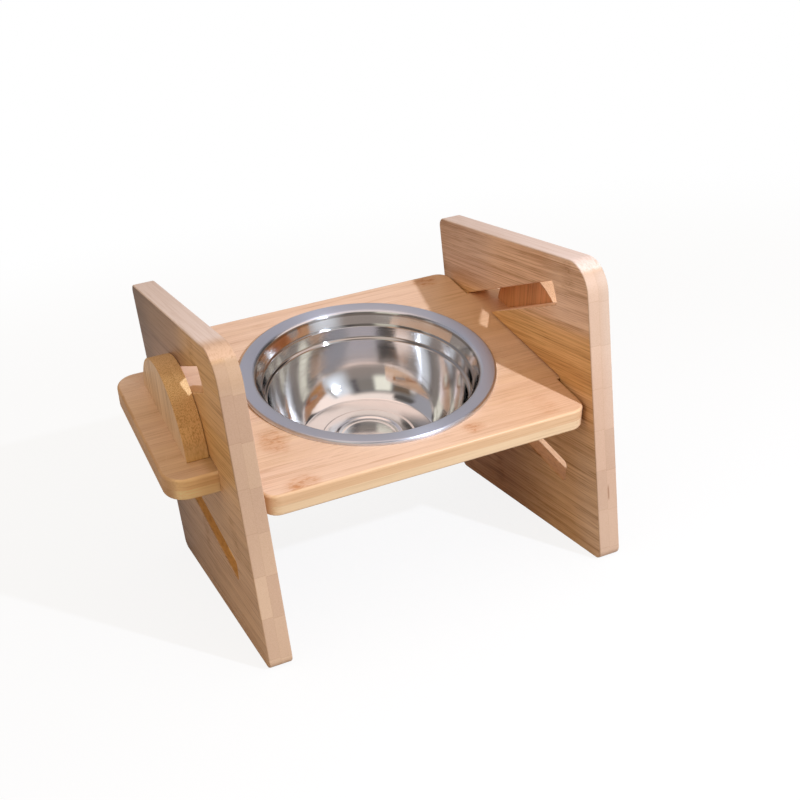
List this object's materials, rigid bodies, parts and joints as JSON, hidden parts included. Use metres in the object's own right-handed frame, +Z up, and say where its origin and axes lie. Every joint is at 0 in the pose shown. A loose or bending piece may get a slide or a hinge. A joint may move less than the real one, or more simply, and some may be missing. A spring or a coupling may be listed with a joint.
{
  "type": "elevated dog bowl",
  "caption": "Raised pet feeder: slotted bamboo side panels hold a tilted board with a round steel bowl, locked by half-moon keys.",
  "frame": {"origin": "centre of the base, on the surface that the side panels stand on", "axes": "+X to the right along the tray board, from panel to panel; -Y to the low front edge where the dog eats; +Z up"},
  "size_m": [0.248, 0.16, 0.16],
  "materials": {
    "bamboo_panel": "satin lacquer",
    "bamboo_board": "satin lacquer",
    "bamboo_key": "satin lacquer",
    "polished_steel": "polished"
  },
  "bodies": {
    "stand": {"left_side_panel": "bamboo_panel", "right_side_panel": "bamboo_panel", "tray_board": "bamboo_board"},
    "bowl": {"steel_bowl": "polished_steel"},
    "left_key": {"left_lock_key": "bamboo_key"},
    "right_key": {"right_lock_key": "bamboo_key"}
  },
  "joints": [
    {"name": "bowl_lift", "type": "slide", "parent": "stand", "child": "bowl", "axis": [0, -0.2588, 0.9659], "range_m": [0, 0.11]},
    {"name": "left_key_lift", "type": "slide", "parent": "stand", "child": "left_key", "axis": [0, -0.2588, 0.9659], "range_m": [0, 0.07]},
    {"name": "right_key_lift", "type": "slide", "parent": "stand", "child": "right_key", "axis": [0, -0.2588, 0.9659], "range_m": [0, 0.07]}
  ]
}
